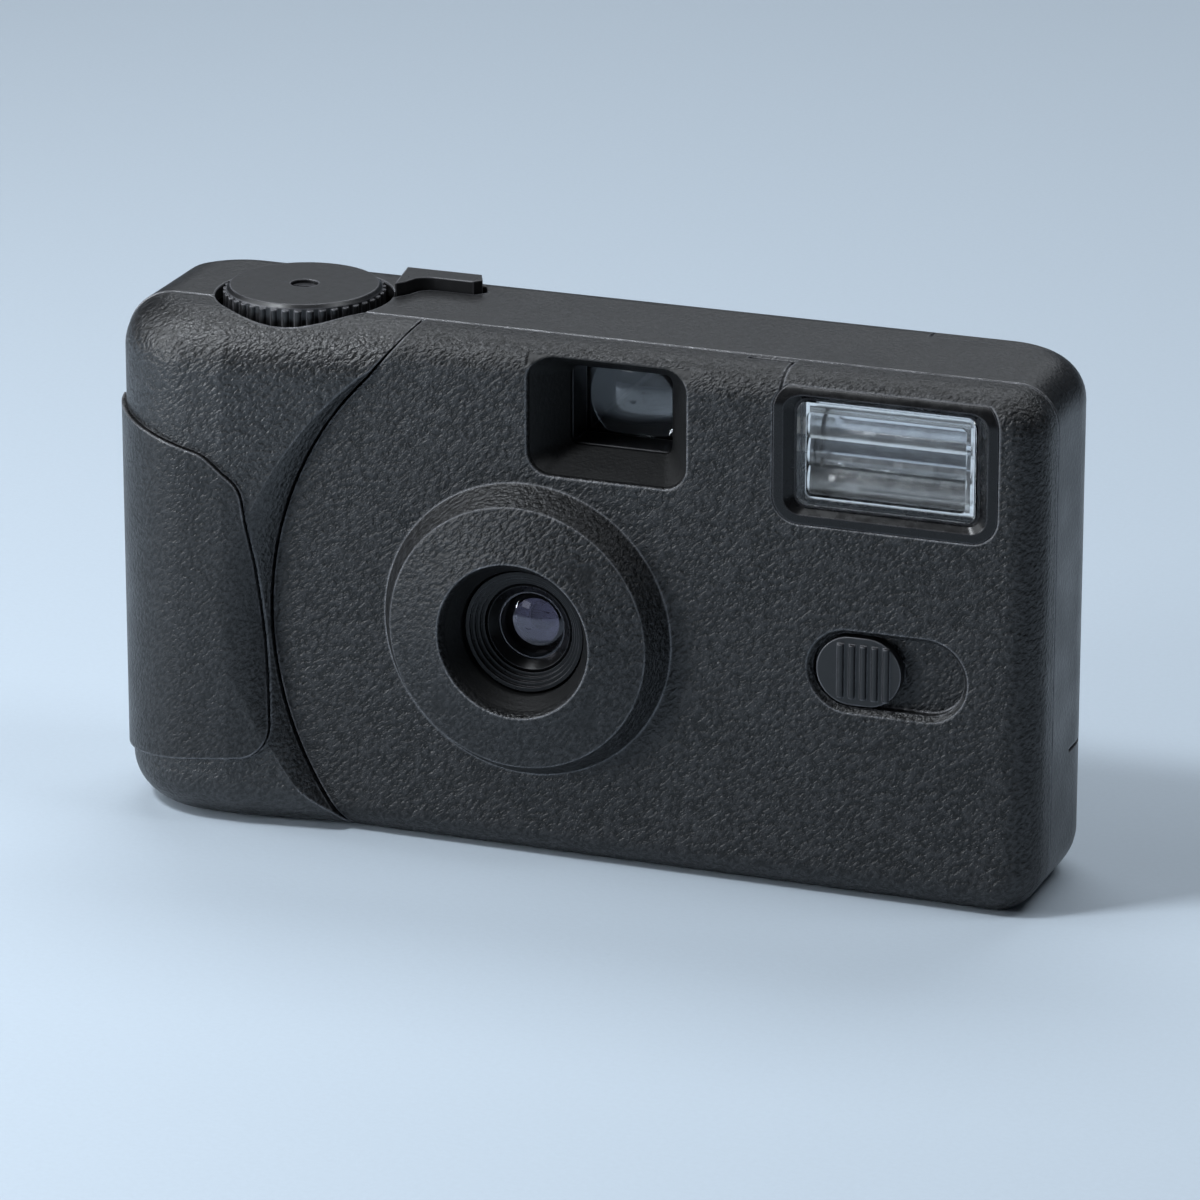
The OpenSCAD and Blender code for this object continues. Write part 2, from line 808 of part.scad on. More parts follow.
// Tapered light tunnel from the shutter board to the film gate, moved in by i
module light_tunnel(i) {
    hull() {
        box([lens_x - tunnel_front_w / 2 + i, board_y + slice, lens_z - tunnel_front_h / 2 + i],
            [lens_x + tunnel_front_w / 2 - i, board_y + board_t, lens_z + tunnel_front_h / 2 - i]);
        box([lens_x - gate_w / 2 - tunnel_t + i, gate_front, lens_z - gate_h / 2 - tunnel_t + i],
            [lens_x + gate_w / 2 + tunnel_t - i, gate_front + slice, lens_z + gate_h / 2 + tunnel_t - i]);
    }
}

module main_frame() {
    gate_x1 = chamber_x0 + chamber_t;
    deck_x1 = lever_x0 + elbow_w + 1;
    frame_front = in_front + 0.4;
    contact_gap = contact_t + contact_room;
    color(dark)
        difference() {
            union() {
                light_tunnel(0);
                box([pivot_x - 4, board_y, lens_z - 12], [lens_x + 12, board_y + board_t, pivot_z + 2]);
                box([partition_x0, gate_front, floor_z], [gate_x1, gate_back, chamber_top]);
                box([partition_x0, frame_front, floor_z], [partition_x1, gate_back, deck_top]);
                box([cassette_x - 0.65 * cassette_r, frame_front, floor_z],
                    [partition_x1, gate_front, floor_z + plate_t]);
                box([cassette_x - 6, frame_front, deck_z], [deck_x1, gate_back, deck_top]);
                post(wheel_x, wheel_y, deck_z, deck_top + 1, axle_r + run + 1.2);
                for (y = [toe_y + toe_w, lever_back + 0.2])
                    box([hinge_x - hinge_hub_r - 0.2, y, deck_z],
                        [hinge_x + hinge_hub_r + 0.2, y + hinge_lug, in_top - 0.4]);
                for (y = [front_lug_y, rear_lug_y])
                    box([partition_x0, y, striker_z - 4], [striker_x + 2.6, y + lug_t, striker_z + 2.6]);
                box([partition_x0, lever_front - 0.2, shelf_top - shelf_t],
                    [stem_x - stem_w, gate_front + slice, shelf_top]);
                box([chamber_x0, chamber_front, chamber_bottom - plate_t],
                    [chamber_x1, gate_back, chamber_bottom]);
                box([chamber_x0, chamber_front, chamber_top],
                    [chamber_x1, gate_back, chamber_top + plate_t]);
                box([chamber_x0, chamber_front, chamber_bottom],
                    [chamber_x1, chamber_front + chamber_t, chamber_top]);
                box([chamber_x0, chamber_front, chamber_bottom],
                    [chamber_x0 + chamber_t, gate_back, chamber_top]);
                box([chamber_x1 - chamber_t, chamber_front, chamber_bottom],
                    [chamber_x1, gate_back, chamber_top]);
                for (x = [battery_x0 - contact_gap - cradle_t, battery_x1 + contact_gap])
                    box([x, in_front + 0.5, floor_z], [x + cradle_t, gate_front + slice, cradle_h]);
                box([sprocket_x - 4, sprocket_y - 4, chamber_top],
                    [chamber_x0 + slice, gate_back, chamber_top + plate_t]);
            }
            light_tunnel(tunnel_t);
            box([lens_x - gate_w / 2, gate_front - 1, lens_z - gate_h / 2],
                [lens_x + gate_w / 2, rear_y, lens_z + gate_h / 2]);
            pin_y(lens_x, lens_z, board_y - 1, board_y + board_t + 1, 5.5);
            pin_y(pivot_x, pivot_z, board_y - 1, board_y + board_t + 1, pivot_r);
            post(wheel_x, wheel_y, deck_z - 1, deck_top + 2, axle_r + run);
            post(cassette_x, cassette_y, deck_z - 1, deck_top - 0.3, axle_r + run);
            post(cassette_x, cassette_y, floor_z - 1, floor_z + plate_t + 1, spool_end_r + run);
            pin_y(hinge_x, hinge_z, toe_y, lever_back + 4, pin_r);
            box([hinge_x - hinge_hub_r - 0.4, toe_y + toe_w + hinge_lug, deck_z - 1],
                [deck_x1 + 1, lever_back + 0.2, deck_top + 1]);
            pin_y(striker_x, striker_z, front_lug_y - 1, rear_lug_y + 0.8, striker_pin_r);
            post(roll_x, roll_y, chamber_bottom - 2, chamber_top + 2, roll_bore_r - 0.6 + run);
            post(sprocket_x, sprocket_y, chamber_top - 1, chamber_top + 2, shaft_r + run);
            box([sprocket_x - sprocket_r - 2, gate_front - 1, sprocket_z - 1],
                [sprocket_x + sprocket_r, rear_y, sprocket_z + sprocket_h + 1]);
            box([chamber_x0 - 1, roll_y + 2, film_z - 0.6],
                [chamber_x0 + chamber_t + 1, rear_y, film_z + film_h + 0.6]);
        }
}

module lens_barrel() {
    back = front_y - barrel_back;
    front = front_y - barrel_front;
    seat = front_y - glass_back;
    ledge = front_y - glass_front;
    steps = 4;
    riser = 0.5;
    tread = (barrel_r - ring_r - set_in) / steps;
    stair = [
        for (k = [0:steps - 1], edge = [0, 1])
            [barrel_r - (k + edge) * tread, front - k * riser]
    ];
    color(dark)
        on_front(lens_x, lens_z) {
            rotate_extrude()
                polygon([
                    [aperture_r + 2.2, back],
                    [barrel_flange_r, back],
                    [barrel_flange_r, back + barrel_flange_t],
                    [barrel_r, back + barrel_flange_t],
                    each stair,
                    [ring_r + set_in, ledge],
                    [glass_r + set_in, ledge],
                    [glass_r + set_in, seat],
                    [aperture_r + 1.2, seat],
                    [aperture_r + 1.2, back + 0.5],
                    [aperture_r + 2.2, back + 0.5]
                ]);
            for (a = post_angles)
                rotate([0, 0, a])
                    translate([post_ring_r, 0, front_y - board_y])
                        cylinder(h = board_y - barrel_back + slice, r = post_r);
        }
}

module lens_ring() {
    color(black)
        on_front(lens_x, lens_z)
            rotate_extrude()
                polygon([
                    [glass_r - 0.4, front_y - glass_front],
                    [ring_r, front_y - glass_front],
                    [ring_r, front_y - ring_front],
                    [ring_r - 0.3, front_y - ring_front + 0.2],
                    [glass_r - 0.1, front_y - ring_front - 0.5]
                ]);
}

module taking_lens() {
    bulge_r = 8;
    sag = bulge_r - sqrt(pow(bulge_r, 2) - pow(glass_r - 0.6, 2));
    color(clear)
        on_front(lens_x, lens_z) {
            translate([0, 0, front_y - glass_back]) cylinder(h = glass_t - 0.1, r = glass_r);
            intersection() {
                translate([0, 0, front_y - glass_back + glass_t - 0.2])
                    cylinder(h = glass_t, r = glass_r - 0.6);
                translate([0, 0, front_y - glass_front - 0.1 + sag - bulge_r]) sphere(bulge_r);
            }
        }
}

module aperture_plate() {
    color(black)
        on_front(lens_x, lens_z)
            translate([0, 0, front_y - barrel_back])
                difference() {
                    cylinder(h = 0.4, r = aperture_r + 2.1);
                    translate([0, 0, -1]) cylinder(h = 2, r = aperture_r);
                }
}

module shutter_blade() {
    tail = 2.8;
    color(steel)
        translate([pivot_x, blade_y, pivot_z]) {
            rotate([90, 0, 0]) translate([0, 0, -blade_t]) linear_extrude(blade_t) difference() {
                union() {
                    rotate(blade_angle)
                        translate([-blade_w / 2, -blade_l - tail]) square([blade_w, blade_l + tail]);
                    circle(blade_w / 2);
                    translate([-tab_w / 2, 0]) square([tab_w, tab_h]);
                }
                circle(pivot_r + run);
            }
            translate([-tab_w / 2, 0, tab_h - 0.8]) cube([tab_w, tab_back - blade_y, 0.8]);
        }
}

module shutter_pin() {
    color(steel) {
        pin_y(pivot_x, pivot_z, blade_y - 0.6, board_y + board_t, pivot_r);
        pin_y(pivot_x, pivot_z, blade_y - 1.2, blade_y - 0.4, pivot_r + 0.6);
    }
}

// Straight spring wire that pushes the blade's tab back
module shutter_spring() {
    x = pivot_x + tab_w / 2 + 1.6;
    y = board_y + board_t + 1.6;
    color(steel)
        wire([[x + 5, board_y + board_t + spring_wire, pivot_z - 3],
            [x + 4, board_y + board_t + 0.8, pivot_z - 1],
            [x + 1, y, pivot_z + tab_h - 1.4],
            [x, y, pivot_z + tab_h - 0.4]], spring_wire);
}

module release_lever() {
    hub_y0 = toe_y + toe_w + hinge_lug + 0.2;
    hub_y1 = lever_back;
    color(black)
        difference() {
            union() {
                translate([0, 0, lever_bottom]) linear_extrude(lever_top - lever_bottom) lever_outline(0);
                pin_y(hinge_x, hinge_z, hub_y0, hub_y1, hinge_hub_r);
                box([hinge_x - hinge_hub_r, lever_front, hinge_z],
                    [hinge_x + hinge_hub_r, hub_y1, lever_bottom + 1]);
                box([stem_x - stem_w / 2, lever_front + 0.2, stem_z],
                    [stem_x + stem_w / 2, lever_front + 1.8, lever_bottom + 1]);
            }
            pin_y(hinge_x, hinge_z, toe_y - 1, lever_back + 1, pin_r + run);
        }
}

module release_pin() {
    color(steel) pin_y(hinge_x, hinge_z, toe_y + toe_w, lever_back + 0.2 + hinge_lug, pin_r);
}

// Coil between the frame's shelf and the lever
module release_spring() {
    turns = 5;
    steps = 14;
    z0 = shelf_top + spring_wire;
    rise = lever_bottom - spring_wire - z0;
    x = stem_x - stem_w - 2;
    y = lever_back - lever_arm / 2;
    points = [
        for (i = [0:turns * steps])
            let (a = 360 * i / steps)
                [x + spring_r * cos(a), y + spring_r * sin(a), z0 + rise * i / (turns * steps)]
    ];
    color(steel) wire(points, spring_wire);
}

module striker() {
    y0 = front_lug_y + lug_t + 0.2;
    y1 = rear_lug_y - 0.2;
    tab_top = pivot_z + tab_h;
    arm_x = pivot_x - tab_w / 2 - 0.3 - striker_arm_t;
    color(dark)
        difference() {
            union() {
                pin_y(striker_x, striker_z, y0, y1, striker_hub_r);
                box([stem_x - stem_w / 2, lever_front, striker_z - 0.6],
                    [striker_x, lever_front + 2, striker_z + 0.9]);
                box([arm_x, y0, tab_top - 1.6], [arm_x + striker_arm_t, y0 + 1.6, striker_z]);
                box([min(arm_x, striker_x), y0, striker_z - 1.6],
                    [max(arm_x, striker_x), y0 + 1.6, striker_z]);
            }
            pin_y(striker_x, striker_z, y0 - 1, y1 + 1, striker_pin_r + run);
        }
}

module striker_pin() {
    color(steel) pin_y(striker_x, striker_z, front_lug_y, rear_lug_y + 0.8, striker_pin_r);
}

module advance_wheel() {
    hole_r = 1.7;
    color(black)
        difference() {
            union() {
                translate([wheel_x, wheel_y, 0])
                    rotate_extrude()
                        polygon([
                            [0, wheel_z],
                            [wheel_disc_r, wheel_z],
                            [wheel_disc_r, wheel_top - wheel_edge],
                            [wheel_disc_r - wheel_edge, wheel_top],
                            [0, wheel_top]
                        ]);
                for (i = [0:wheel_ribs - 1])
                    translate([wheel_x, wheel_y, wheel_z])
                        rotate([0, 0, 360 * i / wheel_ribs])
                            translate([wheel_r - rib_r, 0, 0])
                                cylinder(h = wheel_h - wheel_edge - 0.2, r = rib_r);
                post(wheel_x, wheel_y, deck_top + 1.1, wheel_z + slice, hub_r);
            }
            post(wheel_x, wheel_y, wheel_top - screw_sink, wheel_top + 1, hole_r);
            post(wheel_x, wheel_y, deck_top, wheel_top + 1, screw_r - 0.6);
        }
}

module wheel_shaft() {
    color(steel)
        difference() {
            union() {
                post(wheel_x, wheel_y, gear_z, deck_top + 1.1, axle_r);
                translate([wheel_x, wheel_y, gear_z])
                    rotate([0, 0, gear_angle])
                        spur(gear_teeth, gear_r, gear_h);
            }
            post(wheel_x, wheel_y, gear_top, deck_top + 2, screw_r - 0.6);
        }
}

module wheel_screw() {
    slot = 0.35;
    color(steel)
        difference() {
            union() {
                post(wheel_x, wheel_y, wheel_top - screw_sink, wheel_top - 0.4, screw_r);
                post(wheel_x, wheel_y, gear_top + 0.2, wheel_top - screw_sink, screw_r - 0.6);
            }
            box([wheel_x - screw_r, wheel_y - slot / 2, wheel_top - 0.7],
                [wheel_x + screw_r, wheel_y + slot / 2, wheel_top]);
        }
}

// Sprung arm on the deck that clicks against the ribs
module wheel_pawl() {
    t = 0.4;
    tip_x = wheel_x - wheel_r - 0.1;
    tip_y = wheel_y + 2;
    color(steel) {
        box([tip_x - t, tip_y, deck_top], [tip_x, tip_y + t, wheel_z + 0.9]);
        box([tip_x - t, tip_y, deck_top], [tip_x + 4, tip_y + 3, deck_top + t]);
    }
}

module spool_gear() {
    turn = gear_angle + 180 + gear_pitch / 2;
    color([0.85, 0.85, 0.82]) {
        translate([cassette_x, cassette_y, gear_z]) rotate([0, 0, turn]) spur(gear_teeth, gear_r, gear_h);
        post(cassette_x, cassette_y, gear_z, deck_top - 0.5, axle_r);
        post(cassette_x, cassette_y, cassette_top - 2, gear_z + slice, fork_r);
    }
}

module cassette_shell() {
    slot = 0.15;
    color([0.22, 0.23, 0.25])
        difference() {
            union() {
                post(cassette_x, cassette_y, cassette_z + cap_h / 2,
                    cassette_top - cap_h / 2, cassette_r - cap_lip);
                box([cassette_x, film_y - lip_h, cassette_z + cap_h],
                    [cassette_x + lip_l, film_y + film_t + lip_h, cassette_top - cap_h]);
            }
            post(cassette_x, cassette_y, cassette_z, cassette_top, cassette_r - cap_lip - cassette_t);
            box([cassette_x, film_y - slot, film_z - 0.3],
                [cassette_x + lip_l + 1, film_y + film_t + slot, film_z + film_h + 0.3]);
        }
}

module cassette_caps() {
    color([0.08, 0.08, 0.09])
        for (low = [true, false]) {
            z0 = low ? cassette_z : cassette_top - cap_h;
            seat_z = low ? z0 + cap_h / 2 : z0;
            difference() {
                post(cassette_x, cassette_y, z0, z0 + cap_h, cassette_r);
                post(cassette_x, cassette_y, z0 - 1, z0 + cap_h + 1, spool_end_r + run);
                difference() {
                    post(cassette_x, cassette_y, seat_z, seat_z + cap_h / 2, cassette_r - cap_lip);
                    post(cassette_x, cassette_y, seat_z - 1,
                        seat_z + cap_h, cassette_r - cap_lip - cassette_t);
                }
                box([cassette_x, film_y - lip_h - 0.2, z0 - 1],
                    [cassette_x + lip_l, far, z0 + cap_h + 1]);
            }
        }
}

module cassette_spool() {
    color([0.12, 0.12, 0.13])
        difference() {
            union() {
                post(cassette_x, cassette_y, cassette_z + cap_h + 0.2,
                    cassette_top - cap_h - 0.2, spool_r);
                post(cassette_x, cassette_y, floor_z + 0.2, cassette_top + spool_end_h, spool_end_r);
            }
            post(cassette_x, cassette_y, cassette_top - 2.5,
                cassette_top + spool_end_h + 1, spool_bore_r);
        }
}

module film_strip() {
    end_x = roll_x - sqrt(pow(roll_r, 2) - pow(roll_r - film_t - 0.3, 2));
    tooth_slot = sqrt(pow(sprocket_r + sprocket_tooth, 2) - pow(sprocket_r, 2)) + 0.7;
    holes = 16;
    color([0.35, 0.24, 0.16])
        difference() {
            box([cassette_x + 2.5, film_y, film_z], [end_x, film_y + film_t, film_z + film_h]);
            for (i = [-holes / 2:holes / 2])
                for (z = [film_z + perforation_drop, film_z + film_h - perforation_drop])
                    translate([lens_x + 4.75 * i, film_y - 1, z]) cube([2, 4, 2.8], center = true);
            box([sprocket_x - tooth_slot, film_y - 1, sprocket_z - 0.4],
                [sprocket_x + tooth_slot, rear_y, sprocket_z + sprocket_h + 0.4]);
        }
}

module film_roll() {
    color([0.30, 0.21, 0.15])
        difference() {
            post(roll_x, roll_y, film_z, film_z + film_h, roll_r - 0.3);
            post(roll_x, roll_y, film_z - 1, film_z + film_h + 1, roll_bore_r);
        }
}

module supply_spool() {
    color([0.12, 0.12, 0.13]) {
        post(roll_x, roll_y, chamber_bottom + 0.3, chamber_top - 0.3, roll_bore_r);
        post(roll_x, roll_y, chamber_bottom - plate_t + 0.1,
            chamber_top + plate_t - 0.1, roll_bore_r - 0.6);
    }
}

module sprocket() {
    finger_z = drum_z + 1;
    color([0.85, 0.85, 0.82]) {
        post(sprocket_x, sprocket_y, sprocket_z, sprocket_z + sprocket_h, sprocket_r - 0.3);
        for (i = [0:sprocket_teeth - 1])
            translate([sprocket_x, sprocket_y, sprocket_z + sprocket_h / 2])
                rotate([0, 0, 360 * (i + 0.5) / sprocket_teeth])
                    translate([sprocket_r, 0, 0]) cube([2 * sprocket_tooth, 1.6, 2], center = true);
        post(sprocket_x, sprocket_y, sprocket_z, finger_z + 1.6, shaft_r);
        box([sprocket_x - 0.4, sprocket_y, finger_z],
            [sprocket_x + 0.4, sprocket_y + shaft_r + 1.6, finger_z + 1.6]);
    }
}

module counter_drum() {
    color([0.90, 0.90, 0.88])
        difference() {
            union() {
                post(drum_x, drum_y, drum_z, drum_z + drum_h, drum_r);
                post(drum_x, drum_y, chamber_top + plate_t + 0.3, drum_z + slice, 2.4);
            }
            for (i = [0:drum_marks - 1])
                translate([drum_x, drum_y, drum_z + 0.6])
                    rotate([0, 0, 360 * i / drum_marks])
                        translate([drum_r, 0, 0]) cube([0.6, 0.5, 1.2], center = true);
        }
}

module counter_window() {
    color(clear)
        translate([drum_x, rear_y, drum_z + drum_h / 2])
            rotate([90, 0, 0]) rounded_plate(window_w - 2 * set_in, drum_h - 2 * set_in, 1.1, 0.3, wall);
}

module pressure_plate() {
    color([0.3, 0.3, 0.32])
        box([lens_x - gate_w / 2 - 5, in_rear - pressure_t, film_z - 1],
            [lens_x + gate_w / 2 + 1, in_rear, film_z + film_h - 4]);
}

module viewfinder_lens() {
    bulge_r = 13;
    color(clear)
        on_front(finder_x, finder_z)
            translate([0, 0, front_y - finder_lens_y - finder_lens_t]) {
                rounded_plate(finder_window_w + 1, finder_window_h + 1, 0.6, 0, 1);
                intersection() {
                    rounded_plate(finder_window_w - 1, finder_window_h - 0.4, 0.4, 0, finder_lens_t);
                    translate([0, 0, finder_lens_t - bulge_r]) sphere(bulge_r);
                }
            }
}

// Rectangular block along Y round the viewfinder axis
module finder_block(w, h, y0, y1) {
    box([finder_x - w / 2, y0, finder_z - h / 2], [finder_x + w / 2, y1, finder_z + h / 2]);
}

module viewfinder_frame() {
    t = 1;
    hood_y = front_y + finder_depth + 0.3;
    pocket = 1 + 2 * set_in;
    rear_y1 = in_rear - 0.5;
    tail_y = finder_lens_y + finder_lens_t + 2;
    color(black)
        difference() {
            union() {
                finder_block(finder_window_w + pocket + 2 * t, finder_window_h + pocket + 1.4 * t,
                    hood_y, tail_y);
                hull() {
                    finder_block(finder_window_w + 2 * t, finder_window_h + 2 * t,
                        tail_y - slice, tail_y);
                    finder_block(eyepiece_w + 2 * t, eyepiece_h + 2 * t, rear_y1 - slice, rear_y1);
                }
            }
            finder_block(finder_window_w, finder_window_h, hood_y - 1, finder_lens_y + finder_lens_t);
            finder_block(finder_window_w + pocket, finder_window_h + pocket,
                finder_lens_y + finder_lens_t - 1 - set_in, finder_lens_y + finder_lens_t + set_in);
            finder_block(finder_window_w - 0.6, finder_window_h - 0.6, finder_lens_y, tail_y);
            hull() {
                finder_block(finder_window_w - 0.6, finder_window_h - 0.6, tail_y - slice, tail_y);
                finder_block(eyepiece_w, eyepiece_h, rear_y1, rear_y1 + slice);
            }
        }
}

module viewfinder_eyepiece() {
    color(clear)
        translate([finder_x, rear_y, finder_z]) rotate([90, 0, 0])
            rounded_plate(eyepiece_w - 2 * set_in, eyepiece_h - 2 * set_in, 1.3, 0.7, wall);
}

module flash_bezel() {
    color(black)
        intersection() {
            on_front(flash_x, flash_z)
                difference() {
                    union() {
                        rounded_plate(bezel_w, bezel_h, 3.2, -bezel_face, 1);
                        rounded_plate(flash_w + 2.8, flash_h + 2, 1.9, -bezel_collar, 0);
                    }
                    rounded_plate(flash_w + 2 * set_in, flash_h + 2 * set_in, 1.4, -far / 8, far / 8);
                    rounded_taper(flash_w + 3.4, flash_h + 2.4, 2.2, 0.1,
                        flash_w + 0.8, flash_h + 0.6, 1.6, -0.9);
                }
            front_form(0);
        }
}

module flash_window() {
    rim = 1.2;
    back = -2.4;
    floor = -1.4;
    pitch = (flash_h - 2 * rim) / flash_ribs;
    lobe_r = 0.72 * pitch;
    lobe_z = floor + 0.7 - lobe_r;
    color(clear)
        on_front(flash_x, flash_z) {
            rounded_plate(flash_w, flash_h, 1.3, back, floor);
            difference() {
                rounded_plate(flash_w, flash_h, 1.3, floor - slice, -0.5);
                rounded_plate(flash_w - 2 * rim, flash_h - 2 * rim, 0.6, floor - 1, 1);
            }
            for (i = [0:flash_ribs - 1])
                translate([0, (i - (flash_ribs - 1) / 2) * pitch, 0])
                    intersection() {
                        translate([0, 0, lobe_z])
                            rotate([0, 90, 0])
                                cylinder(h = flash_w - 2 * rim + 0.2, r = lobe_r, center = true);
                        translate([-flash_w / 2, -pitch / 2, floor - 0.2]) cube([flash_w, pitch, 3]);
                    }
        }
}

// Bar of radius r along X behind the flash window, l long, at a depth behind the front plane
module flash_bar(l, r, depth) {
    translate([-l / 2, 0, -depth]) rotate([0, 90, 0]) cylinder(h = l, r = r);
}

module flash_reflector() {
    l = flash_w - 1.2;
    centre = trough_front + trough_depth - trough_r;
    color(steel)
        on_front(flash_x, flash_z)
            difference() {
                flash_bar(l, trough_r, centre);
                flash_bar(l - 2 * trough_t, trough_r - trough_t, centre);
                flash_bar(far, tube_r + set_in, tube_depth);
                translate([-far / 2, -far / 2, -trough_front]) cube(far);
            }
}

module flash_tube() {
    color([0.85, 0.88, 0.9, 0.6])
        on_front(flash_x, flash_z) flash_bar(flash_w + 1.6, tube_r, tube_depth);
}

module flash_switch() {
    rib_w = 0.4;
    rib_pitch = 1.4;
    rib_shift = 0.6;
    head = 4;
    color(black)
        on_front(switch_x, switch_z) {
            translate([knob_rest, 0, 0]) {
                stadium(knob_l, knob_h, -switch_floor + 0.1, -0.3);
                for (i = [0:knob_ribs - 1])
                    translate([rib_shift + (i - (knob_ribs - 1) / 2) * rib_pitch, -knob_h / 2 + 0.9, -0.2])
                        rotate([-90, 0, 0]) cylinder(h = knob_h - 1.8, r = rib_w);
            }
            translate([foot_x, -foot_h / 2, -switch_floor - switch_back - 0.5])
                cube([foot_w, foot_h, switch_back + 1]);
            translate([foot_x - 0.6, -head / 2, -switch_floor - switch_back - switch_head])
                cube([head, head, 1]);
        }
}

module switch_contacts() {
    color([0.8, 0.65, 0.35])
        for (z = [-2.4, 1.2])
            box([switch_x - 8, pcb_front - contact_strip, switch_z + z],
                [switch_x + 4, pcb_front, switch_z + z + 1.2]);
}

module circuit_board() {
    color([0.12, 0.35, 0.2])
        box([pcb_x0, pcb_front, pcb_z0], [pcb_x1, pcb_front + pcb_t, pcb_z1]);
}

module capacitor() {
    lead = 0.8;
    color([0.15, 0.16, 0.2]) {
        post(capacitor_x, capacitor_y, capacitor_z, capacitor_top, capacitor_r);
        for (z = [capacitor_z + capacitor_r, capacitor_top - capacitor_r])
            box([capacitor_x - lead / 2, pcb_front + pcb_t, z],
                [capacitor_x + lead / 2, capacitor_y, z + lead]);
    }
}

module transformer() {
    color([0.5, 0.42, 0.2])
        box([capacitor_x - coil_size / 2, pcb_front + pcb_t, coil_z],
            [capacitor_x + coil_size / 2, pcb_front + pcb_t + coil_size, pcb_z1]);
}

module ready_lamp() {
    color([0.9, 0.45, 0.25, 0.7]) pin_y(lamp_x, lamp_z, in_rear - 3, rear_y - 0.2, lamp_r);
}

module battery() {
    tip = 1;
    color([0.75, 0.6, 0.25]) {
        pin_x(battery_y, battery_z, battery_x0, battery_x1 - tip, battery_r);
        pin_x(battery_y, battery_z, battery_x1 - tip - slice, battery_x1, 1.9);
    }
}

// Contact plate at one end of the battery, with a bump of height h towards it
module battery_contact(x, side, h) {
    color(steel) {
        box([min(x, x + side * contact_t), battery_y - 4, battery_z - 4],
            [max(x, x + side * contact_t), battery_y + 4, battery_z + 4]);
        translate([x, battery_y, battery_z])
            rotate([0, -90 * side, 0])
                cylinder(h = h, r1 = 2.6, r2 = 1.6);
    }
}

module battery_contact_plus() {
    battery_contact(battery_x1 + contact_room, 1, contact_room - 0.1);
}

module battery_contact_minus() {
    battery_contact(battery_x0 - contact_room, -1, contact_room - 0.1);
}

front_cover();
grip_cover();
grip_pad();
rear_cover();
main_frame();
lens_barrel();
lens_ring();
taking_lens();
aperture_plate();
shutter_blade();
shutter_pin();
shutter_spring();
release_lever();
release_pin();
release_spring();
striker();
striker_pin();
advance_wheel();
wheel_shaft();
wheel_screw();
wheel_pawl();
spool_gear();
cassette_shell();
cassette_caps();
cassette_spool();
film_strip();
film_roll();
supply_spool();
sprocket();
counter_drum();
counter_window();
pressure_plate();
viewfinder_lens();
viewfinder_frame();
viewfinder_eyepiece();
flash_bezel();
flash_window();
flash_reflector();
flash_tube();
flash_switch();
switch_contacts();
circuit_board();
capacitor();
transformer();
ready_lamp();
battery();
battery_contact_plus();
battery_contact_minus();
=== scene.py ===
"""Looks of a compact single-use film camera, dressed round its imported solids.

Metres, +Z up, lens towards -Y.
"""

import math

import bmesh
import bpy
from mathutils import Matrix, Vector

MM = 0.001

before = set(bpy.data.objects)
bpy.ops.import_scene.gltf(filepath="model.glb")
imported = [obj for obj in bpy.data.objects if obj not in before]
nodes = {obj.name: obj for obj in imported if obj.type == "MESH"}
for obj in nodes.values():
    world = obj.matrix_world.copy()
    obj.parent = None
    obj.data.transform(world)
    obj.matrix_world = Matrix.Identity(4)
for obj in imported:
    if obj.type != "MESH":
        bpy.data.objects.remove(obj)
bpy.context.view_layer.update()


# Shader building blocks

